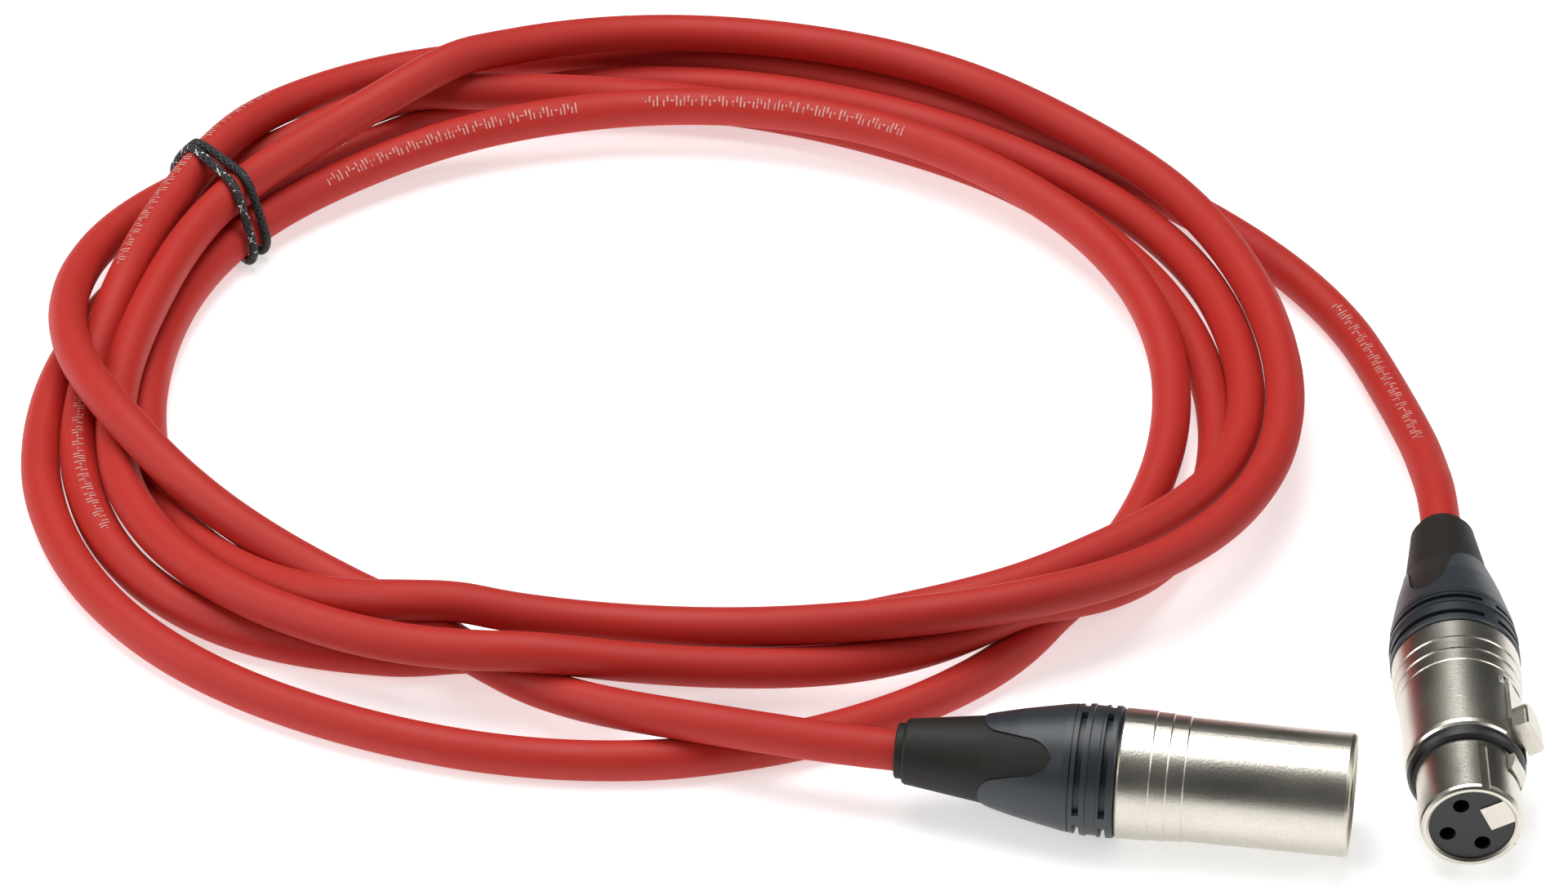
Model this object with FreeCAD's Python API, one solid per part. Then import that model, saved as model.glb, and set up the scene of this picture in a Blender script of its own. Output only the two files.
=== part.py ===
"""A coiled microphone cable: five loose turns held by an elastic tie, with a three-pin connector on each end.

Millimetres, +Z up. The cable lies on the plane Z = 0 and the origin is at the middle of the whole footprint.
Each connector is drawn along its own +X axis, from its cable entry, with its key side at +Z, and then placed.
"""
import FreeCAD
import Part
import math
import os

Vector = FreeCAD.Vector

# ---- the cable and its coil ----
CABLE_D = 6.4
COIL_CENTRE = Vector(-14.65, 12.15, 0.0)
COIL_HEIGHT = 12.6
COIL_EDGE_CUT = 2.2
COIL_SIDES = 60
# How far the coil reaches from its centre, every 15 degrees, counted from +X towards +Y.
OUTER_REACH = [102.5, 100.5, 99.5, 98.5, 98.5, 99.0, 99.6, 101.0, 102.5, 104.0, 106.5, 107.0,
               105.5, 107.0, 108.5, 107.5, 104.5, 101.5, 98.5, 96.0, 94.5, 96.0, 101.0, 103.5]
INNER_REACH = [80.0, 78.5, 76.5, 74.0, 72.5, 72.0, 72.0, 73.5, 75.5, 79.0, 83.0, 85.0,
               86.0, 86.5, 83.0, 79.0, 74.5, 70.0, 67.6, 68.5, 73.0, 79.0, 82.0, 81.5]

# ---- the elastic tie round the coil ----
TIE_ANGLE = 148.0
TIE_CORD_D = 1.6
TIE_TURNS = 2
TIE_CLEAR = 0.15
TIE_SINK = 1.0
TIE_BEND_R = 4.0

# ---- where the connectors lie: cable entry, heading, and the roll of the key side towards +X or the front ----
AXIS_HEIGHT = 10.2
MALE_ENTRY = Vector(20.6, -90.6, AXIS_HEIGHT)
MALE_HEADING = -8.9
MALE_ROLL = 0.0
FEMALE_ENTRY = Vector(108.1, -36.2, AXIS_HEIGHT)
FEMALE_HEADING = -90.6
FEMALE_ROLL = -63.0
MALE_BOOT_ROLL = 44.0
FEMALE_BOOT_ROLL = -28.0

# ---- connector sizes that both ends share ----
COLLAR_BACK = 27.0
SHELL_BACK = 34.5
NECK_R = 7.6
COLLAR_R = 10.15
COLLAR_BORE_R = 8.4
FINGER_BACK = 13.3
FINGER_WALL = 0.9
FINGER_PROUD = 0.3
CABLE_HOLE_R = 3.6
PIN_CIRCLE_R = 4.0
PIN_ANGLES = {1: 90.0, 2: -90.0, 3: 180.0}
CABLE_STOP = 29.5
WIRE_GAP = 0.2

# ---- male end ----
MALE_FRONT = 70.0
MALE_R = 9.5
MALE_BORE_R = 8.1
MALE_INSERT = (39.0, 48.5)
MALE_PIN_R = 1.2
MALE_ROOT_R = 1.5
MALE_PIN = (33.5, 64.0)

# ---- female end ----
FEMALE_FRONT = 59.0
RING_FRONT = 61.3
NOSE_FRONT = 72.7
NOSE_R = 7.85
NOSE_BORE_R = 6.55
FEMALE_INSERT = (44.0, 72.1)
CONTACT_FRONT = 68.0
SOCKET_R = 1.25
SOCKET_FLOOR = 54.0
CONTACT_R = 1.65
LATCH_PIVOT = (46.5, 8.1)
LATCH_PIN_R = 0.8
LATCH_PIN_CLEAR = 0.05
LATCH_FLOOR = 4.55
KEY_HALF = 2.2
KEY_FOOT = 2.3
LEVER_HALF = 2.1
LEVER_HEIGHT = (6.4, 7.2)
LEVER_FRONT = 65.3
HOOK_BACK = 62.0
WINDOW = (61.5, 66.2)
PAD = (50.9, 57.4)
PAD_HALF = 3.2


# ---- small helpers ----
def axis_x(shape, angle):
    """A copy of the shape turned about the X axis."""
    turned = shape.copy()
    turned.rotate(Vector(0, 0, 0), Vector(1, 0, 0), angle)
    return turned


def lathe(profile):
    """Turn a closed outline of (x, radius) points about the X axis."""
    points = [Vector(x, 0, r) for x, r in profile]
    face = Part.Face(Part.makePolygon(points + points[:1]))
    return face.revolve(Vector(0, 0, 0), Vector(1, 0, 0), 360)


def rod(x0, x1, radius, y=0.0, z=0.0):
    """A round bar along X."""
    return Part.makeCylinder(radius, x1 - x0, Vector(x0, y, z), Vector(1, 0, 0))


def bar(x0, x1, half_width, z0, z1):
    """A square bar along X, centred on Y = 0."""
    return Part.makeBox(x1 - x0, 2 * half_width, z1 - z0, Vector(x0, -half_width, z0))


def place(shape, entry, heading, roll):
    """Roll a connector piece about its own axis, turn it to its heading and put it at its cable entry."""
    placed = axis_x(shape, roll)
    placed.rotate(Vector(0, 0, 0), Vector(0, 0, 1), heading)
    placed.translate(entry)
    return placed


def polar(radius, degrees, z=0.0):
    """A point round the coil's centre."""
    a = math.radians(degrees)
    return COIL_CENTRE + Vector(radius * math.cos(a), radius * math.sin(a), z)


# ---- the coil, the tie and the two free tails ----
def ring_block(reaches):
    """An upright block with many flat sides, which follow a smooth closed curve shaped by the reaches."""
    step = 360.0 / len(reaches)
    curve = Part.BSplineCurve()
    curve.buildFromPoles([polar(r, i * step) for i, r in enumerate(reaches)], True, 3)
    corners = curve.discretize(Number=COIL_SIDES + 1)[:-1]
    return Part.Face(Part.makePolygon(corners + corners[:1])).extrude(Vector(0, 0, COIL_HEIGHT))


def reach_at(reaches, degrees):
    """How far an outline reaches at any angle."""
    step = 360.0 / len(reaches)
    low = int(degrees / step)
    share = degrees / step - low
    return reaches[low] * (1 - share) + reaches[low + 1] * share


def tie_block(inset, width):
    """A rounded block across the coil at the tie; the tie's loop is the skin of one of these."""
    near = reach_at(INNER_REACH, TIE_ANGLE) + TIE_SINK + inset
    far = reach_at(OUTER_REACH, TIE_ANGLE) - TIE_SINK - inset
    block = Part.makeBox(far - near, width, COIL_HEIGHT - 2 * inset, Vector(near, -width / 2, inset))
    along = [e for e in block.Edges if abs(e.tangentAt(e.FirstParameter).y) > 0.99]
    return at_tie(block.makeFillet(TIE_BEND_R - inset, along))


def at_tie(shape):
    """Put a shape that is drawn along +X from the coil's centre at the tie."""
    shape.rotate(Vector(0, 0, 0), Vector(0, 0, 1), TIE_ANGLE)
    shape.translate(COIL_CENTRE)
    return shape


def tie():
    """The elastic cord, which goes twice round all the turns side by side."""
    width = TIE_TURNS * TIE_CORD_D
    return tie_block(0.0, width).cut(tie_block(TIE_CORD_D, width + 1))


def coil():
    """One closed solid of the outer shape of all the turns, drawn in to a waist where the tie holds them."""
    solid = ring_block(OUTER_REACH).cut(ring_block(INNER_REACH))
    rims = [e for e in solid.Edges if abs(e.tangentAt(e.FirstParameter).z) < 0.01]
    solid = solid.makeChamfer(COIL_EDGE_CUT, rims)
    width = TIE_TURNS * TIE_CORD_D + 2 * TIE_CLEAR
    slot = at_tie(Part.makeBox(OUTER_REACH[0], width, COIL_HEIGHT, Vector(INNER_REACH[0] / 2, -width / 2, 0)))
    return solid.cut(slot).fuse(tie_block(TIE_CORD_D, width)).removeSplitter()


def tube_along(points, name):
    """A cable tube along straight runs joined by tangent arcs as large as the runs allow."""
    edges = []
    start = points[0]
    radii = []
    for before, corner, after in zip(points, points[1:], points[2:]):
        back = (before - corner).normalize()
        ahead = (after - corner).normalize()
        half_turn = (math.pi - back.getAngle(ahead)) / 2
        reach = 0.45 * min((before - corner).Length, (after - corner).Length)
        radius = reach / math.tan(half_turn)
        radii.append(round(radius, 1))
        enter = corner + back * reach
        leave = corner + ahead * reach
        inward = (back + ahead).normalize()
        middle = corner + inward * (radius / math.cos(half_turn) - radius)
        edges.append(Part.LineSegment(start, enter).toShape())
        edges.append(Part.Arc(enter, middle, leave).toShape())
        start = leave
    edges.append(Part.LineSegment(start, points[-1]).toShape())
    path = Part.Wire(edges)
    section = Part.Wire(Part.makeCircle(CABLE_D / 2, points[0], points[1] - points[0]))
    tube = path.makePipeShell([section], True, False, 2)
    ratio = tube.Volume / (math.pi * CABLE_D ** 2 / 4 * path.Length)
    print(name, "radii", radii, "length", round(path.Length, 1), "volume ratio", round(ratio, 4))
    return tube


def male_tail():
    """From the clamp of the male end, over the outermost turn, to the coil."""
    heading = math.radians(MALE_HEADING)
    along = Vector(math.cos(heading), math.sin(heading), 0)
    points = [
        MALE_ENTRY + along * CABLE_STOP,
        MALE_ENTRY - along * 9.0,
        Vector(-6.4, -85.2, 9.7),
        Vector(-19.4, -80.4, 8.2),
        Vector(-31.4, -74.8, 5.6),
    ]
    return tube_along(points, "male tail")


def female_tail():
    """From the clamp of the female end, down to the ground and round to the coil."""
    heading = math.radians(FEMALE_HEADING)
    along = Vector(math.cos(heading), math.sin(heading), 0)
    points = [
        FEMALE_ENTRY + along * CABLE_STOP,
        FEMALE_ENTRY - along * 9.5,
        Vector(107.2, -5.4, 5.6),
        Vector(104.0, 9.0, 3.4),
        Vector(99.2, 25.5, 3.3),
        Vector(91.1, 41.5, 3.2),
        Vector(79.6, 55.5, 3.2),
        Vector(67.6, 66.5, 3.2),
    ]
    return tube_along(points, "female tail")


# ---- pieces that both connectors have ----
def boot_cone(x):
    """Radius of the boot's outside at a distance from the cable entry."""
    stations = [(0.0, 4.2), (2.6, 5.2), (13.9, 7.1), (19.1, 8.35), (22.6, 9.05), (26.2, 9.75), (30.0, COLLAR_R)]
    for (x0, r0), (x1, r1) in zip(stations, stations[1:]):
        if x <= x1:
            return r0 + (r1 - r0) * (x - x0) / (x1 - x0)
    return stations[-1][1]


def finger_gap():
    """The U-shaped gap between two fingers of the collar, whose mouth flares round the fingers' tips."""
    back = FINGER_BACK - 0.5
    half = [(back, 6.8), (FINGER_BACK, 6.25), (13.95, 4.7), (15.4, 3.85), (20.2, 3.05), (23.1, 2.0), (24.5, 0.0)]
    corner = [Vector(x, y, 0) for x, y in half]
    mirror = [Vector(x, -y, 0) for x, y in half]
    edges = [Part.LineSegment(corner[0], corner[1]).toShape(), Part.Arc(*corner[1:4]).toShape(),
             Part.LineSegment(corner[3], corner[4]).toShape(), Part.Arc(*corner[4:7]).toShape(),
             Part.Arc(corner[6], mirror[5], mirror[4]).toShape(), Part.LineSegment(mirror[4], mirror[3]).toShape(),
             Part.Arc(mirror[3], mirror[2], mirror[1]).toShape(), Part.LineSegment(mirror[1], mirror[0]).toShape(),
             Part.LineSegment(mirror[0], corner[0]).toShape()]
    return Part.Face(Part.Wire(edges)).extrude(Vector(0, 0, 14))


def finger_gaps():
    gap = finger_gap()
    return gap.multiFuse([axis_x(gap, 120), axis_x(gap, 240)])


def finger_layer(bottom, top):
    """The cone-shaped layer that the fingers lie in, between two depths below the outside."""
    xs = [FINGER_BACK, 13.9, 19.1, 22.6, 26.2, COLLAR_BACK]
    upper = [(x, boot_cone(x) - top) for x in xs]
    lower = [(x, boot_cone(x) - bottom) for x in reversed(xs)]
    return lathe(upper + lower)


def collar_slots():
    """Two rows of shallow slots round the collar, each broken by three bridges."""
    slots = lathe([(28.2, 9.0), (28.2, 11), (29.2, 11), (29.2, 9.0)])
    slots = slots.fuse(lathe([(32.2, 9.0), (32.2, 11), (33.2, 11), (33.2, 9.0)]))
    bridges = [axis_x(bar(COLLAR_BACK, SHELL_BACK, 1.2, 0, 12), 120 * i + 60) for i in range(3)]
    return slots.cut(bridges[0].multiFuse(bridges[1:]))


def boot_collar():
    """The hard threaded collar with its three fingers, its slots and a shallow grip band."""
    ring = lathe([
        (COLLAR_BACK, boot_cone(COLLAR_BACK)), (27.3, boot_cone(27.3)), (27.35, 9.6), (27.5, 9.6),
        (27.55, boot_cone(27.55)), (30.0, COLLAR_R), (30.15, COLLAR_R - 0.2), (31.65, COLLAR_R - 0.2),
        (31.8, COLLAR_R), (34.0, COLLAR_R), (SHELL_BACK - 0.15, 9.95), (SHELL_BACK - 0.15, COLLAR_BORE_R),
        (COLLAR_BACK + 1.5, COLLAR_BORE_R), (COLLAR_BACK + 1.5, 7.3), (COLLAR_BACK, 7.3),
    ])
    fingers = finger_layer(FINGER_WALL, 0.0).cut(finger_gaps())
    return ring.cut(collar_slots()).fuse(fingers).removeSplitter()


def boot_sleeve():
    """The rubber sleeve: a bend guard on the cable whose panels fill the gaps between the fingers."""
    core = lathe([
        (0.0, CABLE_HOLE_R), (0.0, 4.1), (0.2, 4.3), (1.2, 4.35), (1.3, 4.85), (1.7, 5.1), (2.6, 5.2),
        (FINGER_BACK, boot_cone(FINGER_BACK) - FINGER_PROUD),
        (FINGER_BACK, boot_cone(FINGER_BACK) - FINGER_WALL), (13.9, 7.1 - FINGER_WALL), (19.1, 8.35 - FINGER_WALL),
        (22.6, 9.05 - FINGER_WALL), (26.2, 9.75 - FINGER_WALL), (COLLAR_BACK, boot_cone(COLLAR_BACK) - FINGER_WALL),
        (COLLAR_BACK, 7.3), (20.0, 6.9), (14.0, CABLE_HOLE_R),
    ])
    panels = finger_layer(FINGER_WALL, FINGER_PROUD).common(finger_gaps())
    return core.multiFuse(panels.Solids).removeSplitter()


def chuck():
    """The split clamp that grips the cable: a slotted sleeve with a flange against the shell's neck."""
    body = lathe([(16.2, 3.55), (16.2, 4.1), (19.5, 6.2), (27.0, 6.2), (27.0, 6.7), (28.2, 6.7), (28.2, 3.55)])
    slots = bar(14.0, 25.0, 0.5, -8, 8).fuse(axis_x(bar(14.0, 25.0, 0.5, -8, 8), 90))
    return body.cut(axis_x(slots, 45))


def ground_clip(x0, x1, bore):
    """The springy strip that joins the shell to the cable's screen, inside the shell."""
    ring = lathe([(x0, bore - 0.8), (x0, bore - 0.3), (x1, bore - 0.3), (x1, bore - 0.8)])
    return ring.cut(bar(x0 - 1, x1 + 1, 2.0, 0, 12))


def inner_wire(number, x0, x1):
    """One insulated lead from the cut end of the cable to its contact."""
    a = math.radians(PIN_ANGLES[number])
    near = Vector(x0 + 2 * WIRE_GAP, 1.4 * math.sin(a), 1.4 * math.cos(a))
    far = Vector(x1 - 2 * WIRE_GAP, PIN_CIRCLE_R * math.sin(a), PIN_CIRCLE_R * math.cos(a))
    return Part.makeCylinder(0.7, (far - near).Length, near, far - near)


def on_pin_circle(shape, number):
    """Move a contact from the axis to its own place on the pin circle."""
    a = math.radians(PIN_ANGLES[number])
    moved = shape.copy()
    moved.translate(Vector(0, PIN_CIRCLE_R * math.sin(a), PIN_CIRCLE_R * math.cos(a)))
    return moved


# ---- male end ----
def male_shell():
    """The metal barrel round the pins, with three small steps behind and a rounded mouth."""
    return lathe([
        (29.0, NECK_R - 1.2), (29.0, NECK_R), (SHELL_BACK, NECK_R), (SHELL_BACK, 9.7), (34.9, 10.0),
        (39.5, 9.98), (39.7, 9.84), (42.1, 9.82), (42.3, 9.68), (44.7, 9.66), (44.9, MALE_R), (69.3, MALE_R),
        (69.8, 9.3), (MALE_FRONT, 9.0), (MALE_FRONT, 8.6), (69.6, 8.3), (69.0, MALE_BORE_R),
        (48.5, MALE_BORE_R), (39.0, MALE_BORE_R), (39.0, NECK_R - 1.2),
    ])


def male_insert():
    """The insulating disc that holds the pins, with a key rib along the barrel's floor."""
    disc = rod(MALE_INSERT[0], MALE_INSERT[1], MALE_BORE_R)
    disc = disc.cut(rod(MALE_INSERT[0] - 1, MALE_INSERT[0] + 3, 6.2))
    holes = [on_pin_circle(rod(MALE_PIN[0], MALE_PIN[1], MALE_ROOT_R), n) for n in PIN_ANGLES]
    return disc.cut(holes[0].multiFuse(holes[1:]))


def male_pin():
    """A contact pin with a rounded tip and a solder cup."""
    tip = MALE_PIN[1]
    step = MALE_INSERT[1]
    return lathe([(MALE_PIN[0], 0.8), (MALE_PIN[0], MALE_ROOT_R), (step, MALE_ROOT_R), (step, MALE_PIN_R),
                  (tip - 1.0, MALE_PIN_R), (tip - 0.5, 1.05), (tip - 0.15, 0.7), (tip, 0.0),
                  (MALE_PIN[0] + 3.0, 0.0), (MALE_PIN[0] + 3.0, 0.8)])


# ---- female end ----
def latch_pocket():
    """The room in the shell and the nose for the latch, its pin and its hook."""
    back = LATCH_PIVOT[0] - 1.4
    web = bar(back, 55.6, PAD_HALF + 0.4, 5.8, 13)
    pad = bar(PAD[0] - 0.6, FEMALE_FRONT + 0.5, PAD_HALF + 0.4, 8.0, 13)
    lever = bar(back, WINDOW[1], 2.5, LATCH_FLOOR, 8.2)
    window = bar(WINDOW[0], WINDOW[1], 2.5, LATCH_FLOOR, 13)
    return web.multiFuse([pad, lever, window]).removeSplitter()


def latch_pin():
    """The cross pin that the latch rocks on."""
    x, z = LATCH_PIVOT
    return Part.makeCylinder(LATCH_PIN_R, 9.0, Vector(x, -4.5, z), Vector(0, 1, 0))


def female_shell():
    """The metal barrel and the nose that enters a mating barrel, in one casting with the key."""
    body = lathe([
        (29.0, NECK_R - 1.2), (29.0, NECK_R), (SHELL_BACK, NECK_R), (SHELL_BACK, 9.7), (34.9, 10.0),
        (38.6, 9.98), (38.8, 9.82), (41.2, 9.8), (41.4, 9.62), (43.7, 9.6), (43.9, 9.5),
        (FEMALE_FRONT - 1.1, 9.32), (FEMALE_FRONT - 0.4, 9.2), (FEMALE_FRONT, 8.9), (FEMALE_FRONT, NOSE_R),
        (NOSE_FRONT - 0.8, NOSE_R), (NOSE_FRONT - 0.3, 7.7), (NOSE_FRONT, 7.35), (NOSE_FRONT, 6.9),
        (NOSE_FRONT - 0.3, NOSE_BORE_R), (FEMALE_INSERT[0], NOSE_BORE_R), (FEMALE_INSERT[0], NECK_R - 1.2),
    ])
    key = bar(WINDOW[0], NOSE_FRONT - 0.4, KEY_HALF, KEY_FOOT, LATCH_FLOOR)
    key = key.fuse(bar(WINDOW[1] + 0.8, NOSE_FRONT - 0.4, KEY_HALF, LATCH_FLOOR - 0.1, NOSE_BORE_R + 0.3))
    body = body.fuse(key)
    groove = bar(RING_FRONT + 0.7, NOSE_FRONT + 1, 0.7, NOSE_R - 0.4, 9)
    for angle in (50, -50):
        body = body.cut(axis_x(groove, angle))
    return body.cut(latch_pocket()).cut(latch_pin()).removeSplitter()


def female_insert():
    """The insulating block with its three socket bores, cut away under the latch and round the key."""
    back, front = FEMALE_INSERT
    block = rod(back, front, NOSE_BORE_R)
    block = block.cut(bar(back - 1, WINDOW[1] + 0.8, 2.9, LATCH_FLOOR - 0.3, 9))
    block = block.cut(bar(WINDOW[0], front + 1, KEY_HALF, KEY_FOOT, 9))
    holes = [on_pin_circle(rod(back - 1, CONTACT_FRONT, CONTACT_R), n) for n in PIN_ANGLES]
    mouths = [on_pin_circle(rod(CONTACT_FRONT, front + 1, SOCKET_R), n) for n in PIN_ANGLES]
    return block.cut(holes[0].multiFuse(holes[1:] + mouths))


def female_contact():
    """A tubular contact, split at its mouth, with a solder cup behind."""
    back, front = FEMALE_INSERT[0] - 5.0, CONTACT_FRONT
    tail_r = CONTACT_R - 0.2
    tube = lathe([(back, 0.9), (back, tail_r), (back + 4.5, tail_r), (back + 4.5, CONTACT_R), (front, CONTACT_R),
                  (front, SOCKET_R), (SOCKET_FLOOR, SOCKET_R), (SOCKET_FLOOR, 0.0), (back + 3.0, 0.0),
                  (back + 3.0, 0.9)])
    return tube.cut(bar(SOCKET_FLOOR + 6.0, front + 1, 0.15, -3, 3))


def latch():
    """The push latch: a raised pad, a lever under the ring and a hook that stands out of the nose."""
    round_x = PAD[0] + PAD_HALF
    pad = Part.makeCylinder(PAD_HALF, 2.6, Vector(round_x, 0, 9.25), Vector(0, 0, 1))
    pad = pad.fuse(bar(round_x, PAD[1], PAD_HALF, 9.25, 11.85)).removeSplitter()
    top = [e for e in pad.Edges if e.BoundBox.ZMin > 11.84]
    pad = pad.makeFillet(0.6, top)
    web = bar(LATCH_PIVOT[0] - 0.9, PAD[1] - 2.4, PAD_HALF, 6.75, 9.4)
    lever = bar(LATCH_PIVOT[0] + 1.4, LEVER_FRONT, LEVER_HALF, LEVER_HEIGHT[0], LEVER_HEIGHT[1])
    side = [(HOOK_BACK, 7.1), (LEVER_FRONT, 7.1), (LEVER_FRONT, 8.0), (HOOK_BACK + 1.6, 8.65), (HOOK_BACK, 8.65)]
    corners = [Vector(x, -LEVER_HALF, z) for x, z in side]
    hook = Part.Face(Part.makePolygon(corners + corners[:1])).extrude(Vector(0, 2 * LEVER_HALF, 0))
    body = web.multiFuse([pad, lever, hook])
    x, z = LATCH_PIVOT
    bore = Part.makeCylinder(LATCH_PIN_R + LATCH_PIN_CLEAR, 9.0, Vector(x, -4.5, z), Vector(0, 1, 0))
    return body.cut(bore).removeSplitter()


def latch_spring():
    """The leaf spring on the underside of the lever."""
    top = LEVER_HEIGHT[0]
    start = LATCH_PIVOT[0] + 1.8
    side = [(start, top), (start + 1.6, top), (start + 9.6, top - 0.65), (start + 9.6, top - 0.85),
            (start + 1.6, top - 0.25), (start, top - 0.25)]
    corners = [Vector(x, -1.2, z) for x, z in side]
    return Part.Face(Part.makePolygon(corners + corners[:1])).extrude(Vector(0, 2.4, 0))


def nose_ring():
    """The rubber ring that the mating barrel closes on."""
    x0, x1 = FEMALE_FRONT, RING_FRONT
    return lathe([(x0, NOSE_R), (x0, 8.75), (x0 + 0.5, 9.1), (x0 + 1.2, 9.05), (x1 - 0.4, 8.7), (x1, 8.3), (x1, NOSE_R)])


# ---- bring it together ----
def connector(prefix, entry, heading, roll, boot_roll, pieces):
    """Place one connector's own pieces, and the pieces that both connectors have."""
    parts = dict(pieces)
    parts["boot_collar"] = axis_x(boot_collar(), boot_roll)
    parts["boot_sleeve"] = axis_x(boot_sleeve(), boot_roll)
    parts["chuck"] = chuck()
    return {prefix + "_" + name: place(shape, entry, heading, roll) for name, shape in parts.items()}


def male_end():
    parts = {"shell": male_shell(), "insert": male_insert(), "ground_clip": ground_clip(30.0, 38.6, NECK_R - 1.2)}
    for n in PIN_ANGLES:
        parts["pin_%d" % n] = on_pin_circle(male_pin(), n)
        parts["wire_%d" % n] = inner_wire(n, CABLE_STOP, MALE_PIN[0])
    return connector("male", MALE_ENTRY, MALE_HEADING, MALE_ROLL, MALE_BOOT_ROLL, parts)


def female_end():
    parts = {"shell": female_shell(), "insert": female_insert(), "latch": latch(), "latch_pin": latch_pin(),
             "latch_spring": latch_spring(), "nose_ring": nose_ring(),
             "ground_clip": ground_clip(30.0, 42.0, NECK_R - 1.2)}
    for n in PIN_ANGLES:
        parts["contact_%d" % n] = on_pin_circle(female_contact(), n)
        parts["wire_%d" % n] = inner_wire(n, CABLE_STOP, FEMALE_INSERT[0] - 5.0)
    return connector("female", FEMALE_ENTRY, FEMALE_HEADING, FEMALE_ROLL, FEMALE_BOOT_ROLL, parts)


def build():
    coil_solid = coil()
    parts = {"cable_coil": coil_solid, "cable_tie": tie()}
    parts["cable_tail_male"] = male_tail().cut(coil_solid)
    parts["cable_tail_female"] = female_tail().cut(coil_solid)
    parts.update(male_end())
    parts.update(female_end())
    return parts


def save(parts):
    os.makedirs("parts", exist_ok=True)
    box = FreeCAD.BoundBox()
    for name, shape in parts.items():
        solids = shape.Solids
        shape = solids[0] if len(solids) == 1 else Part.makeCompound(solids)
        shape.exportStep("parts/%s.step" % name)
        box.add(shape.BoundBox)
        print(name, len(solids), "solids", round(shape.Volume, 1), "mm3", "valid" if shape.isValid() else "INVALID")
    print("box", [round(v, 2) for v in (box.XMin, box.YMin, box.ZMin, box.XMax, box.YMax, box.ZMax)])


save(build())
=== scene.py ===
# %% [markdown]
# # A coiled microphone cable
# This lesson dresses a finished mechanical model of a coiled microphone cable. The connectors, the clamp
# parts and the outer shape of the coil come in as fixed parts. Blender adds what a lathe and a mill can't:
# one long flexible cable, the braided tie that holds it, and a finish for every surface.

# %% Load the fixed model
import bmesh
import bpy
import math
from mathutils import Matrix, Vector


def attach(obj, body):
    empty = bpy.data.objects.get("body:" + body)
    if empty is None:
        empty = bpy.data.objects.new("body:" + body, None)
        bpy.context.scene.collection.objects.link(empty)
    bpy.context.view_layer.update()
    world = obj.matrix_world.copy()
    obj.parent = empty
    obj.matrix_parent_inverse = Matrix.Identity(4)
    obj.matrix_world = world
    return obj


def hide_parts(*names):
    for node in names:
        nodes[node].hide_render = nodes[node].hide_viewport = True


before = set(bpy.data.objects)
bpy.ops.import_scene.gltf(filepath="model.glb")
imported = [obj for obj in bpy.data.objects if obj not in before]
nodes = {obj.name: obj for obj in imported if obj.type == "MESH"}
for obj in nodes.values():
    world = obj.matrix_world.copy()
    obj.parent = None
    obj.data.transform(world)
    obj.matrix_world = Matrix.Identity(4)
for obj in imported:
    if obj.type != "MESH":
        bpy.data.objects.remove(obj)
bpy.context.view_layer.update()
MM = 0.001
print("fixed parts:", len(nodes))

# %% [markdown]
# ## Where things lie
# Sizes are in metres, the small ones written as millimetres times MM, and a row that is in millimetres says
# so. The coil's middle, the two connector axes and the tie's angle are given here, because the cable and the
# tie hang on them.

# %% Main sizes and places
CABLE_D = 6.4 * MM
COIL_CENTRE = Vector((-14.65, 12.15, 0.0)) * MM
FLOOR_LINE = CABLE_D / 2
TIE_ANGLE = 148.0

AXIS_HEIGHT = 10.2 * MM
CABLE_STOP = 29.5 * MM
CABLE_HELD = 8.0 * MM
MALE_RUN_OUT = 9.0 * MM
FEMALE_RUN_OUT = 9.5 * MM
MALE_ENTRY = Vector((20.6 * MM, -90.6 * MM, AXIS_HEIGHT))
FEMALE_ENTRY = Vector((108.1 * MM, -36.2 * MM, AXIS_HEIGHT))
MALE_HEADING = math.radians(-8.9)
FEMALE_HEADING = math.radians(-90.6)


def heading_vector(angle):
    """The direction in which a connector points, level with the floor."""
    return Vector((math.cos(angle), math.sin(angle), 0.0))


MALE_ALONG = heading_vector(MALE_HEADING)
FEMALE_ALONG = heading_vector(FEMALE_HEADING)

# %% [markdown]
# ## The camera
# A long lens from well back flattens the coil as a product shot does. The camera looks down at about 37
# degrees, and it is built before the cable so that the cable's lie can be judged through it.

# %% Camera
CAMERA_TARGET = Vector((3.35, 0.15, 0.0)) * MM
CAMERA_DISTANCE = 1.1718
CAMERA_ELEVATION = math.radians(36.87)
CAMERA_LENS = 163.85
camera_data = bpy.data.cameras.new("camera")
camera_data.lens = CAMERA_LENS
camera_data.sensor_width = 36.0
camera_data.clip_start = 0.05
camera = bpy.data.objects.new("camera", camera_data)
bpy.context.scene.collection.objects.link(camera)
back = Vector((0.0, -math.cos(CAMERA_ELEVATION), math.sin(CAMERA_ELEVATION)))
camera.location = CAMERA_TARGET + back * CAMERA_DISTANCE
camera.rotation_euler = (math.pi / 2 - CAMERA_ELEVATION, 0.0, 0.0)
bpy.context.scene.camera = camera
print("camera at", [round(v, 3) for v in camera.location])
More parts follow.
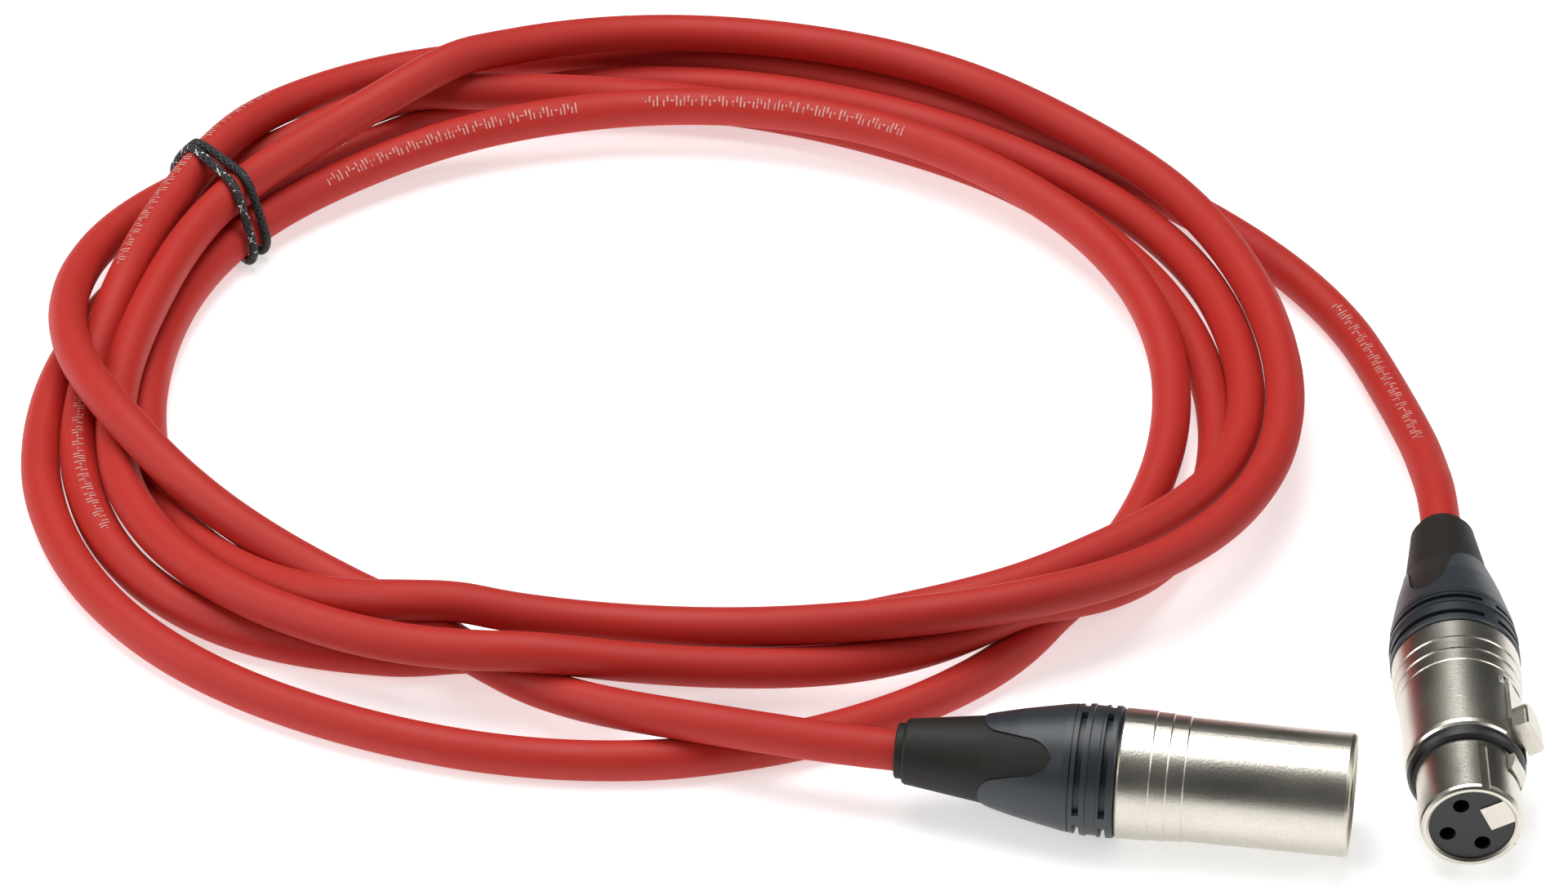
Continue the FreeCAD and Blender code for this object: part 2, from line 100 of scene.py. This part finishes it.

# %% [markdown]
# ## The route of the cable
# A free cable is one fixed length that lies where it was put. Both ends leave a boot dead straight, and the
# five turns between them are loose: each keeps its own distance from the middle and wanders over or under
# its neighbours. The turns are given as rows of distances and of layers, one value every 15 degrees, and a
# loop turns them into points.
#
# The rows of distances are not an example to follow. A separate measuring script worked them out, and only
# thirteen of the 116 were changed by hand afterwards. Turns that a loop works out from a few driving sizes
# would be easier to read and to change.

# %% Free ends, as listed points
female_end = [
    FEMALE_ENTRY + FEMALE_ALONG * CABLE_STOP,
    FEMALE_ENTRY + FEMALE_ALONG * CABLE_HELD,
    FEMALE_ENTRY - FEMALE_ALONG * FEMALE_RUN_OUT,
    Vector((107.7, -15.6, 7.4)) * MM,
    Vector((106.6, -4.2, 5.3)) * MM,
]
male_end = [
    MALE_ENTRY - MALE_ALONG * MALE_RUN_OUT,
    MALE_ENTRY + MALE_ALONG * CABLE_HELD,
    MALE_ENTRY + MALE_ALONG * CABLE_STOP,
]

# %% The five turns: distance from the middle of the coil in mm, every 15 degrees
STATIONS = 24
# Worked out by a separate measuring script, and changed by hand in thirteen places.
TURN_REACH = [
    [117.7, 110.0, 101.2, 95.8, 94.5, 94.5, 96.4, 98.8, 101.2, 99.5, 96.2, 94.3,
     95.6, 98.1, 98.8, 92.7, 82.0, 74.2, 70.8, 71.3, 75.1, 84.5, 92.7, 95.6],
    [93.6, 93.1, 91.5, 89.4, 88.4, 88.6, 89.8, 90.8, 89.9, 89.8, 92.4, 96.7,
     101.5, 104.6, 106.0, 104.1, 100.4, 98.0, 95.3, 92.5, 90.0, 86.6, 84.6, 83.5],
    [83.0, 82.1, 79.8, 77.3, 76.0, 75.1, 74.9, 76.1, 78.9, 81.8, 86.7, 88.7,
     90.1, 91.5, 90.2, 85.6, 79.6, 74.3, 73.0, 76.4, 83.3, 91.3, 98.5, 100.6],
    [99.0, 97.2, 96.7, 94.6, 95.8, 95.0, 94.3, 92.1, 88.0, 86.3, 89.3, 88.6,
     89.9, 93.0, 93.4, 90.7, 88.1, 84.4, 81.1, 82.0, 85.0, 88.2, 90.4, 90.3],
    [87.8, 85.4, 83.0, 82.4, 80.6, 81.2, 82.5, 85.6, 89.9, 96.0, 101.8, 103.2,
     98.1, 90.8, 85.4, 82.2, 79.5, 83.0, 92.6, 103.1],
]
# The layer that each turn lies in at the same places: 0 on the floor, 9 on another turn.
TURN_LAYER = [
    "000000000389500000003899",
    "600000000000000000000000",
    "049999996200000699999999",
    "999999999999900599640000",
    "00000000000499960079",
]
TOP_LAYER = 9
LAYER_RISE = 6.3 * MM

# %% [markdown]
# The rows leave some turns a little inside each other. Real cable can't do that, so at each station the turns
# push their neighbours away until a little air is left between them, and none sinks below the floor.
# Smoothing each turn along its length between the pushes keeps the bends gentle. It isn't perfect: a few
# short stretches are still inside another turn, by up to 1.3 mm.

# %% Let the turns settle against each other
SPLIT = 3
FINE_STATIONS = STATIONS * SPLIT
PUSH_ROUNDS = 120
SMOOTH_ROUNDS = 70
EASING_ROUNDS = 3
NEVER_ZERO = 1e-6
# How far apart the middles of two turns are pushed: the cable's thickness and a little air.
TOUCH = CABLE_D * 1.03


def finer(values):
    """The same row with two smooth steps added between each pair of values."""
    result = []
    for i in range(len(values) - 1):
        a, b, c, d = (values[max(i - 1, 0)], values[i], values[i + 1], values[min(i + 2, len(values) - 1)])
        for part in range(SPLIT):
            t = part / SPLIT
            result.append(b + 0.5 * t * (c - a + t * (2 * a - 5 * b + 4 * c - d + t * (3 * (b - c) + d - a))))
    return result + [values[-1]]


def smooth(values):
    """Each value drawn halfway to the mean of its two neighbours."""
    inner = [0.5 * b + 0.25 * (a + c) for a, b, c in zip(values, values[1:], values[2:])]
    return values[:1] + inner + values[-1:]


reach_row = finer([reach * MM for row in TURN_REACH for reach in row])
for easing in range(EASING_ROUNDS):
    reach_row = smooth(reach_row)
layer_row = finer([float(layer) for row in TURN_LAYER for layer in row])
chain = []
for reach, layer in zip(reach_row, layer_row):
    chain.append([reach, FLOOR_LINE + LAYER_RISE * min(max(layer / TOP_LAYER, 0.0), 1.0)])


def push_apart(a, b):
    """Move the middles of two round sections away from each other until they are TOUCH apart."""
    gap = [b[0] - a[0], b[1] - a[1]]
    apart = math.hypot(*gap)
    if apart < TOUCH:
        push_by = 0.5 * (TOUCH - apart) / max(apart, NEVER_ZERO)
        for k in (0, 1):
            a[k] -= gap[k] * push_by
            b[k] += gap[k] * push_by


for push in range(PUSH_ROUNDS):
    for station in range(FINE_STATIONS):
        here = chain[station::FINE_STATIONS]
        for i, a in enumerate(here):
            for b in here[i + 1:]:
                push_apart(a, b)
        for point in here:
            point[1] = max(point[1], FLOOR_LINE)
    if push < SMOOTH_ROUNDS:
        drifts = smooth([point[0] - reach for point, reach in zip(chain, reach_row)])
        heights = smooth([point[1] for point in chain])
        for point, reach, drift, height in zip(chain, reach_row, drifts, heights):
            point[0], point[1] = reach + drift, height
turns = [chain[first:first + FINE_STATIONS] for first in range(0, len(chain), FINE_STATIONS)]
print("highest turn", round(max(point[1] for point in chain) * 1000, 1), "mm")

# %% Turn the settled row into points, and join it to the free ends
STEP = 2 * math.pi / FINE_STATIONS
# The spline passes a little inside its points, so they are set that much further out.
CORNER_GAIN = 1 + (1 - math.cos(STEP)) / 4
# Points left out at the start and at the end of the row, where the free ends take over.
SKIP_FIRST = 1
SKIP_LAST = 3
route = list(female_end)
for number in range(SKIP_FIRST, len(chain) - SKIP_LAST):
    reach, height = chain[number]
    across = Vector((math.cos(STEP * number), math.sin(STEP * number), 0.0)) * reach * CORNER_GAIN
    route.append(COIL_CENTRE + across + Vector((0.0, 0.0, height)))
route += male_end
print("route points:", len(route))

# %% [markdown]
# ## The cable
# A round bevel on one NURBS spline is the natural choice for a cable: the section is true everywhere, and the
# spline is smooth without handles to tune. The order and the end setting are given after the points, or
# Blender would fall back to straight runs. The tube is then made a mesh with closed, merged ends.

# %% Cable curve
WELD_DISTANCE = 0.0005 * MM


def spline_object(name, points, radius, closed=False, sides=6, fineness=8):
    """A tube on one NURBS spline."""
    data = bpy.data.curves.new(name, "CURVE")
    data.dimensions = "3D"
    spline = data.splines.new("NURBS")
    spline.points.add(len(points) - 1)
    for point, place in zip(spline.points, points):
        point.co = (*place, 1.0)
    spline.order_u = 3
    spline.use_endpoint_u = not closed
    spline.use_cyclic_u = closed
    data.resolution_u = fineness
    data.bevel_depth = radius
    data.bevel_resolution = sides
    data.use_fill_caps = True
    piece = bpy.data.objects.new(name, data)
    bpy.context.scene.collection.objects.link(piece)
    return piece


def centre_line(name, points, closed=False, fineness=8):
    """The points of the same spline without its thickness."""
    bare = spline_object(name, points, 0.0, closed, 0, fineness)
    mesh = bpy.data.meshes.new_from_object(bare)
    line = [vertex.co.copy() for vertex in mesh.vertices]
    bpy.data.objects.remove(bare)
    return line


def finish_mesh(name, bm, body):
    """Turn a bmesh into a smooth-shaded piece that rides on a body."""
    mesh = bpy.data.meshes.new(name)
    bm.to_mesh(mesh)
    bm.free()
    mesh.shade_smooth()
    piece = bpy.data.objects.new(name, mesh)
    bpy.context.scene.collection.objects.link(piece)
    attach(piece, body)
    return piece


def join_as_mesh(name, parts, body):
    """Turn several curves into one mesh piece."""
    bm = bmesh.new()
    for part in parts:
        mesh = bpy.data.meshes.new_from_object(part)
        bm.from_mesh(mesh)
        bpy.data.objects.remove(part)
        bpy.data.meshes.remove(mesh)
    bmesh.ops.remove_doubles(bm, verts=bm.verts, dist=WELD_DISTANCE)
    bmesh.ops.recalc_face_normals(bm, faces=bm.faces)
    return finish_mesh(name, bm, body)


cable_line = centre_line("cable_line", route, fineness=4)
cable_tube = spline_object("cable_tube", route, CABLE_D / 2, sides=7, fineness=4)
cable = join_as_mesh("cable", [cable_tube], "root")
cable_run = sum((b - a).length for a, b in zip(cable_line, cable_line[1:]))
print("cable length", round(cable_run, 3), "m")
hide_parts("cable_coil", "cable_tail_male", "cable_tail_female")

# %% [markdown]
# ## The print on the jacket
# Makers ink a line of small type along a cable. Here it is a row of plain strokes and dashes of mixed height
# that never touch, so it looks like print from a distance and says nothing. Each stroke is a thin
# patch that is wrapped on the jacket just above its surface, so it bends with the cable.

# %% Printed stretches: start and end along the cable in metres, and where they sit round it in degrees
PRINT_STRETCHES = [
    (0.056, 0.100, -14.0),
    (0.318, 0.372, 22.0),
    (0.405, 0.440, 2.0),
    (0.880, 0.930, 6.0),
    (1.345, 1.392, -36.0),
    (1.404, 1.452, -36.0),
]
INK_LIFT = 0.03 * MM
INK_TALL = 1.9 * MM
STROKE = 0.26 * MM
STROKE_GAP = 0.42 * MM
STROKE_STEPS = 4
# Each mark is one stroke: width in stroke widths, then bottom and top as shares of the height.
MARKS = {
    "|": (1, 0.0, 1.0),
    ",": (1, 0.0, 0.6),
    "'": (1, 0.4, 1.0),
    "-": (2, 0.42, 0.58),
    ".": (1, 0.4, 0.6),
}
INK_ROW = "|,'|,-,|', ,|'-,'| .,'|,|-', |,'.,|, "
distances = [0.0]
for a, b in zip(cable_line, cable_line[1:]):
    distances.append(distances[-1] + (b - a).length)


def at_distance(distance):
    """The point and direction of the cable at a distance along it."""
    low = max(i for i, d in enumerate(distances[:-1]) if d <= distance)
    share = (distance - distances[low]) / (distances[low + 1] - distances[low])
    before, after = cable_line[low], cable_line[low + 1]
    return before.lerp(after, share), (after - before).normalized()


def print_stroke(bm, start, width, roll, low, high):
    """One inked stroke: a small patch laid on the jacket."""
    radius = CABLE_D / 2 + INK_LIFT
    tall = INK_TALL / radius
    rows = []
    for i in range(2):
        point, along = at_distance(start + width * i)
        side = along.cross(Vector((0, 0, 1))).normalized()
        up = side.cross(along)
        shares = [low + (high - low) * j / STROKE_STEPS for j in range(STROKE_STEPS + 1)]
        angles = [roll + tall * (share - 0.5) for share in shares]
        rows.append([bm.verts.new(point + radius * (up * math.cos(a) + side * math.sin(a))) for a in angles])
    for j in range(STROKE_STEPS):
        bm.faces.new((rows[0][j], rows[0][j + 1], rows[1][j + 1], rows[1][j]))


ink = bmesh.new()
for start, end, roll in PRINT_STRETCHES:
    place = start
    count = 0
    while place < end:
        mark = MARKS.get(INK_ROW[count % len(INK_ROW)])
        if mark:
            wide, low, high = mark
            print_stroke(ink, place, wide * STROKE, math.radians(roll), low, high)
            place += wide * STROKE
        place += STROKE_GAP
        count += 1
bmesh.ops.recalc_face_normals(ink, faces=ink.faces)

cable_print = finish_mesh("cable_print", ink, "root")
print("inked faces:", len(cable_print.data.polygons))

# %% [markdown]
# ## The elastic tie
# A thin elastic cord goes round the bundle twice. Its sleeve is a braid of fine threads, so it is built as
# threads: half of them wind one way round the cord and half the other way, on top of a dark core. Here each
# time round is a closed loop of its own. It follows the bundle's section, which is read from the settled
# turns, like a belt round five pipes.

# %% Belt round the bundle
TIE_R = 0.72 * MM
BELT_CLEAR = CABLE_D / 2 + TIE_R * 1.05
BELT_POINTS = 28
# How far each loop leans along the bundle at its outer and at its inner side, in mm.
TIE_LOOP_LEAN = [(-5.0, 6.0), (-6.0, 2.3)]
tie_station = TIE_ANGLE * FINE_STATIONS / 360.0


def bundle_section():
    """Where the middle of each turn lies in the upright plane at the tie."""
    low = int(tie_station)
    share = tie_station - low
    return [[turn[low][k] * (1 - share) + turn[low + 1][k] * share for k in (0, 1)] for turn in turns]


def belt_round(centres, clear):
    """Points of a tight belt round circles, from the furthest reach in every direction."""
    middle = [sum(c[k] for c in centres) / len(centres) for k in (0, 1)]
    edge = []
    for i in range(BELT_POINTS):
        a = 2 * math.pi * i / BELT_POINTS
        way = (math.cos(a), math.sin(a))
        support = max((c[0] - middle[0]) * way[0] + (c[1] - middle[1]) * way[1] for c in centres)
        edge.append((support + clear, way))
    points = []
    for i, (reach, way) in enumerate(edge):
        before, after = edge[i - 1][0], edge[(i + 1) % BELT_POINTS][0]
        slope = (after - before) / (4 * math.pi / BELT_POINTS)
        across = middle[0] + reach * way[0] - slope * way[1]
        upward = middle[1] + reach * way[1] + slope * way[0]
        points.append((across, upward))
    return points


section = bundle_section()
belt = belt_round(section, BELT_CLEAR)
print("tie section:", [[round(v * 1000, 1) for v in c] for c in section])

# %% Tie loops
CORE_R = TIE_R * 0.74
THREAD_R = TIE_R * 0.36
SILVER_R = TIE_R * 0.26
THREADS = 4
THREAD_TURNS = 21
# Which threads of the first loop are silver: the way that each winds, and its number.
SILVER_PLACES = ((1, 0), (-1, 2))
# A direction that no loop runs along.
ASIDE = Vector((0.35, 0.2, 0.91))


def tie_loop(lean_outer, lean_inner):
    """The belt as points in space; it leans along the bundle from its outer to its inner side."""
    far = max(p[0] for p in belt)
    near = min(p[0] for p in belt)
    out = Vector((math.cos(math.radians(TIE_ANGLE)), math.sin(math.radians(TIE_ANGLE)), 0.0))
    along = Vector((-out.y, out.x, 0.0))
    points = []
    for reach, height in belt:
        share = (reach - near) / (far - near)
        lean = (lean_inner * (1 - share) + lean_outer * share) * MM
        points.append(COIL_CENTRE + out * reach + along * lean + Vector((0, 0, max(height, TIE_R))))
    return points


def thread_round(line, phase, turns_round, radius, thread_r, name):
    """One braid thread: a tube that winds round a closed line."""
    count = len(line)
    points = []
    for i, point in enumerate(line):
        along = (line[(i + 1) % count] - line[i - 1]).normalized()
        side = along.cross(ASIDE).normalized()
        up = side.cross(along)
        a = phase + 2 * math.pi * turns_round * i / count
        points.append(point + (up * math.cos(a) + side * math.sin(a)) * radius)
    return spline_object(name, points, thread_r, closed=True, sides=1, fineness=2)


tie_cores = []
tie_threads = []
silver_threads = []
for number, (lean_outer, lean_inner) in enumerate(TIE_LOOP_LEAN):
    loop = tie_loop(lean_outer, lean_inner)
    tie_cores.append(spline_object("tie_core", loop, CORE_R, closed=True, sides=3, fineness=4))
    fine = centre_line("tie_line", loop, closed=True, fineness=14)
    for way in (1, -1):
        for k in range(THREADS):
            phase = 2 * math.pi * (k + 0.25 * way) / THREADS
            silver = number == 0 and (way, k) in SILVER_PLACES
            thread_r = SILVER_R if silver else THREAD_R
            thread = thread_round(fine, phase, way * THREAD_TURNS, CORE_R, thread_r, "thread")
            (silver_threads if silver else tie_threads).append(thread)
tie_core = join_as_mesh("tie_core", tie_cores, "root")
tie_braid = join_as_mesh("tie_braid", tie_threads, "root")
tie_silver = join_as_mesh("tie_silver", silver_threads, "root")
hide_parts("cable_tie")
print("tie faces:", len(tie_core.data.polygons), len(tie_braid.data.polygons))

# %% [markdown]
# ## Finishes
# Three effects come back on every surface of the object: a fine grain from moulding or blasting, slow
# blotches from handling, and thin pale scuffs. They are built once, as two node groups, and every material
# gives them its own sizes.

# %% Shader groups: grain and blotches, and scuffs
SCUFF_EDGE = 0.09


def make_grain_group():
    """Noise at two sizes, on a given vector, as two masks."""
    group = bpy.data.node_groups.new("grain_and_blotches", "ShaderNodeTree")
    face = group.interface
    face.new_socket("Vector", in_out="INPUT", socket_type="NodeSocketVector")
    face.new_socket("Grain Scale", in_out="INPUT", socket_type="NodeSocketFloat")
    face.new_socket("Blotch Scale", in_out="INPUT", socket_type="NodeSocketFloat")
    face.new_socket("Grain", in_out="OUTPUT", socket_type="NodeSocketFloat")
    face.new_socket("Blotch", in_out="OUTPUT", socket_type="NodeSocketFloat")
    source = group.nodes.new("NodeGroupInput")
    result = group.nodes.new("NodeGroupOutput")
    for label, detail in (("Grain", 3.0), ("Blotch", 5.0)):
        noise = group.nodes.new("ShaderNodeTexNoise")
        noise.inputs["Detail"].default_value = detail
        noise.inputs["Roughness"].default_value = 0.6
        group.links.new(source.outputs["Vector"], noise.inputs["Vector"])
        group.links.new(source.outputs[label + " Scale"], noise.inputs["Scale"])
        group.links.new(noise.outputs["Fac"], result.inputs[label])
    return group


def make_scuff_group():
    """Thin pale scratches: a stretched noise cut to its highest crests."""
    group = bpy.data.node_groups.new("scuffs", "ShaderNodeTree")
    face = group.interface
    face.new_socket("Vector", in_out="INPUT", socket_type="NodeSocketVector")
    face.new_socket("Scale", in_out="INPUT", socket_type="NodeSocketFloat")
    face.new_socket("Cut", in_out="INPUT", socket_type="NodeSocketFloat")
    face.new_socket("Mask", in_out="OUTPUT", socket_type="NodeSocketFloat")
    source = group.nodes.new("NodeGroupInput")
    result = group.nodes.new("NodeGroupOutput")
    noise = group.nodes.new("ShaderNodeTexNoise")
    noise.inputs["Detail"].default_value = 8.0
    noise.inputs["Roughness"].default_value = 0.75
    noise.inputs["Distortion"].default_value = 1.5
    cut = group.nodes.new("ShaderNodeMapRange")
    cut.inputs["To Max"].default_value = 1.0
    above = group.nodes.new("ShaderNodeMath")
    above.operation = "ADD"
    above.inputs[1].default_value = SCUFF_EDGE
    group.links.new(source.outputs["Vector"], noise.inputs["Vector"])
    group.links.new(source.outputs["Scale"], noise.inputs["Scale"])
    group.links.new(noise.outputs["Fac"], cut.inputs["Value"])
    group.links.new(source.outputs["Cut"], cut.inputs["From Min"])
    group.links.new(source.outputs["Cut"], above.inputs[0])
    group.links.new(above.outputs[0], cut.inputs["From Max"])
    group.links.new(cut.outputs["Result"], result.inputs["Mask"])
    return group


GRAIN_GROUP = make_grain_group()
SCUFF_GROUP = make_scuff_group()

# %% Material builder
# Every finish starts from the same recipe: a colour that drifts with the blotches, pale scuffs over it, a
# roughness that drifts too, and a bump from the grain.
BLOTCH_LOW = 0.3
BLOTCH_HIGH = 0.7


def finish(name, colour, second, scuff, rough, metallic=0.0, grain=1500.0, blotch=40.0, bump=0.02,
           scuff_scale=90.0, scuff_cut=0.66, grain_tint=0.0, specular=0.5):
    """One material from two base colours, a scuff colour, a roughness range and grain; bump is in mm."""
    material = bpy.data.materials.new(name)
    material.use_nodes = True
    tree = material.node_tree
    shader = tree.nodes["Principled BSDF"]
    shader.inputs["Metallic"].default_value = metallic
    shader.inputs["Specular IOR Level"].default_value = specular
    place = tree.nodes.new("ShaderNodeTexCoord")
    masks = tree.nodes.new("ShaderNodeGroup")
    masks.node_tree = GRAIN_GROUP
    masks.inputs["Grain Scale"].default_value = grain
    masks.inputs["Blotch Scale"].default_value = blotch
    scratches = tree.nodes.new("ShaderNodeGroup")
    scratches.node_tree = SCUFF_GROUP
    scratches.inputs["Scale"].default_value = scuff_scale
    scratches.inputs["Cut"].default_value = scuff_cut
    tree.links.new(place.outputs["Object"], masks.inputs["Vector"])
    tree.links.new(place.outputs["Object"], scratches.inputs["Vector"])
    drift = tree.nodes.new("ShaderNodeMix")
    drift.data_type = "RGBA"
    drift.inputs["A"].default_value = (*colour, 1.0)
    drift.inputs["B"].default_value = (*second, 1.0)
    tree.links.new(masks.outputs["Blotch"], drift.inputs["Factor"])
    worn = tree.nodes.new("ShaderNodeMix")
    worn.data_type = "RGBA"
    worn.inputs["B"].default_value = (*scuff, 1.0)
    tree.links.new(drift.outputs["Result"], worn.inputs["A"])
    tree.links.new(scratches.outputs["Mask"], worn.inputs["Factor"])
    last = worn
    if grain_tint:
        speck = tree.nodes.new("ShaderNodeMix")
        speck.data_type = "RGBA"
        speck.blend_type = "MULTIPLY"
        speck.inputs["Factor"].default_value = grain_tint
        tree.links.new(worn.outputs["Result"], speck.inputs["A"])
        tree.links.new(masks.outputs["Grain"], speck.inputs["B"])
        last = speck
    tree.links.new(last.outputs["Result"], shader.inputs["Base Color"])
    shine = tree.nodes.new("ShaderNodeMapRange")
    shine.inputs["From Min"].default_value = BLOTCH_LOW
    shine.inputs["From Max"].default_value = BLOTCH_HIGH
    shine.inputs["To Min"].default_value = rough[0]
    shine.inputs["To Max"].default_value = rough[1]
    tree.links.new(masks.outputs["Blotch"], shine.inputs["Value"])
    tree.links.new(shine.outputs["Result"], shader.inputs["Roughness"])
    relief = tree.nodes.new("ShaderNodeBump")
    relief.inputs["Strength"].default_value = 1.0
    relief.inputs["Distance"].default_value = bump * MM
    tree.links.new(masks.outputs["Grain"], relief.inputs["Height"])
    tree.links.new(relief.outputs["Normal"], shader.inputs["Normal"])
    return material


def paint(material, *names):
    """Give a material to pieces or fixed parts."""
    for name in names:
        piece = nodes[name] if isinstance(name, str) else name
        piece.data.materials.clear()
        piece.data.materials.append(material)


# %% [markdown]
# ### The red jacket
# A soft matte plastic. It has no clear highlight, only a broad sheen along the top of each turn, and it picks
# up faint pale rub marks.

# %% Jacket and ink
jacket = finish("jacket_red", (0.50, 0.027, 0.019), (0.44, 0.022, 0.016), (0.56, 0.085, 0.065),
                (0.50, 0.64), grain=1100.0, blotch=28.0, bump=0.02, scuff_scale=60.0, scuff_cut=0.68,
                specular=0.32)
paint(jacket, cable)
ink_pale = finish("ink_pale", (0.66, 0.40, 0.36), (0.58, 0.24, 0.20), (0.50, 0.05, 0.04),
                  (0.55, 0.7), grain=2500.0, blotch=900.0, bump=0.005, scuff_scale=700.0, scuff_cut=0.52)
paint(ink_pale, cable_print)

# %% [markdown]
# ### Metals
# The barrels are blasted and nickel plated, so they are satin with a fine grain. The contacts are brass and
# bright, and the small steel parts are duller.

# %% Metal finishes
nickel = finish("nickel_satin", (0.80, 0.76, 0.67), (0.72, 0.68, 0.59), (0.86, 0.83, 0.75), (0.26, 0.36),
                metallic=1.0, grain=2600.0, blotch=60.0, bump=0.03, grain_tint=0.3)
brass = finish("contact_brass", (0.72, 0.48, 0.20), (0.62, 0.38, 0.15), (0.80, 0.62, 0.35), (0.18, 0.3),
               metallic=1.0, grain=3000.0, bump=0.002)
steel = finish("spring_steel", (0.55, 0.55, 0.54), (0.45, 0.45, 0.45), (0.7, 0.7, 0.7), (0.3, 0.42),
               metallic=1.0, grain=2500.0, bump=0.003)
paint(nickel, "male_shell", "female_shell", "female_latch")
paint(brass, *[name for name in nodes if "_pin_" in name or "_contact_" in name])
paint(steel, "female_latch_pin", "female_latch_spring", "male_ground_clip", "female_ground_clip")

# %% [markdown]
# ### Rubber and plastic
# The sleeve is a black rubber with a skin that catches dust, and the collar is a harder plastic with a cold
# blue-grey tone, so the two blacks read as two materials.

# %% Rubber and plastic finishes
sleeve_rubber = finish("sleeve_rubber", (0.0125, 0.0105, 0.0085), (0.020, 0.017, 0.014), (0.07, 0.062, 0.052),
                       (0.50, 0.62), grain=1300.0, blotch=70.0, bump=0.02, scuff_scale=160.0, scuff_cut=0.66,
                       specular=0.28)
collar_plastic = finish("collar_plastic", (0.020, 0.026, 0.032), (0.026, 0.033, 0.040), (0.10, 0.11, 0.115),
                        (0.34, 0.46), grain=1500.0, blotch=70.0, bump=0.012, scuff_scale=140.0,
                        scuff_cut=0.66)
ring_rubber = finish("ring_rubber", (0.012, 0.012, 0.012), (0.02, 0.02, 0.02), (0.06, 0.06, 0.06),
                     (0.3, 0.45), grain=1500.0, bump=0.01)
insulator = finish("insulator_black", (0.016, 0.016, 0.018), (0.024, 0.024, 0.026), (0.10, 0.10, 0.10),
                   (0.4, 0.55), grain=2200.0, bump=0.01, scuff_scale=220.0, scuff_cut=0.62)
chuck_plastic = finish("chuck_plastic", (0.62, 0.60, 0.52), (0.52, 0.50, 0.43), (0.7, 0.68, 0.6), (0.4, 0.5),
                       grain=1500.0, bump=0.01)
lead_plastic = finish("lead_plastic", (0.55, 0.52, 0.46), (0.48, 0.45, 0.40), (0.6, 0.6, 0.55), (0.4, 0.5))
paint(sleeve_rubber, "male_boot_sleeve", "female_boot_sleeve")
paint(collar_plastic, "male_boot_collar", "female_boot_collar")
paint(ring_rubber, "female_nose_ring")
paint(insulator, "male_insert", "female_insert")
paint(chuck_plastic, "male_chuck", "female_chuck")
paint(lead_plastic, *[name for name in nodes if "_wire_" in name])

# %% [markdown]
# ### The braided tie
# The threads are black with a few silver ones among them, which show as flecks where they cross the top.

# %% Tie finishes
thread_black = finish("thread_black", (0.012, 0.012, 0.012), (0.03, 0.03, 0.03), (0.5, 0.5, 0.5), (0.5, 0.7),
                      grain=4000.0, blotch=700.0, bump=0.01, scuff_scale=500.0, scuff_cut=0.62)
core_black = finish("core_black", (0.006, 0.006, 0.006), (0.012, 0.012, 0.012), (0.02, 0.02, 0.02),
                    (0.7, 0.8))
paint(thread_black, tie_braid)
paint(core_black, tie_core)
paint(steel, tie_silver)

# %% [markdown]
# ## Floor and light
# A white floor that glows a little, a surround that is bright above and darker round the sides, and three
# large soft lamps give the flat bright light of a cut-out product shot, with enough shade for the cable and
# the barrels to look round.

# %% Stage
FLOOR_SIZE = 6.0
FLOOR_GLOW = 0.55
SKY_LOW_AT = 0.05
SKY_HIGH_AT = 0.9
SKY_LOW = 0.36
SKY_HIGH = 0.78
floor_mesh = bmesh.new()
bmesh.ops.create_grid(floor_mesh, x_segments=1, y_segments=1, size=FLOOR_SIZE / 2)
floor_data = bpy.data.meshes.new("floor")
floor_mesh.to_mesh(floor_data)
floor_mesh.free()
floor_piece = bpy.data.objects.new("floor", floor_data)
bpy.context.scene.collection.objects.link(floor_piece)
floor_paint = bpy.data.materials.new("floor_white")
floor_paint.use_nodes = True
floor_shader = floor_paint.node_tree.nodes["Principled BSDF"]
floor_shader.inputs["Base Color"].default_value = (0.75, 0.75, 0.75, 1.0)
floor_shader.inputs["Roughness"].default_value = 0.9
floor_shader.inputs["Emission Color"].default_value = (1.0, 1.0, 1.0, 1.0)
floor_shader.inputs["Emission Strength"].default_value = FLOOR_GLOW
floor_data.materials.append(floor_paint)

world = bpy.data.worlds.new("studio")
world.use_nodes = True
sky_place = world.node_tree.nodes.new("ShaderNodeTexCoord")
sky_split = world.node_tree.nodes.new("ShaderNodeSeparateXYZ")
sky = world.node_tree.nodes.new("ShaderNodeMapRange")
sky.inputs["From Min"].default_value = SKY_LOW_AT
sky.inputs["From Max"].default_value = SKY_HIGH_AT
sky.inputs["To Min"].default_value = SKY_LOW
sky.inputs["To Max"].default_value = SKY_HIGH
world.node_tree.links.new(sky_place.outputs["Generated"], sky_split.inputs["Vector"])
world.node_tree.links.new(sky_split.outputs["Z"], sky.inputs["Value"])
world.node_tree.links.new(sky.outputs["Result"], world.node_tree.nodes["Background"].inputs["Strength"])
bpy.context.scene.world = world


def soft_lamp(name, place, size, watts):
    """A square lamp that faces the middle of the object."""
    data = bpy.data.lights.new(name, "AREA")
    data.energy = watts
    data.size = size
    lamp = bpy.data.objects.new(name, data)
    lamp.location = place
    lamp.rotation_euler = (-Vector(place)).to_track_quat("-Z", "Y").to_euler()
    bpy.context.scene.collection.objects.link(lamp)


soft_lamp("lamp_top", (-0.15, 0.25, 1.1), 0.9, 13.0)
soft_lamp("lamp_left", (-1.0, -0.35, 0.6), 0.7, 6.0)
soft_lamp("lamp_right", (1.0, -0.2, 0.7), 0.6, 4.0)
bpy.context.scene.view_settings.view_transform = "Standard"

# %% [markdown]
# ## Close

bpy.context.view_layer.update()
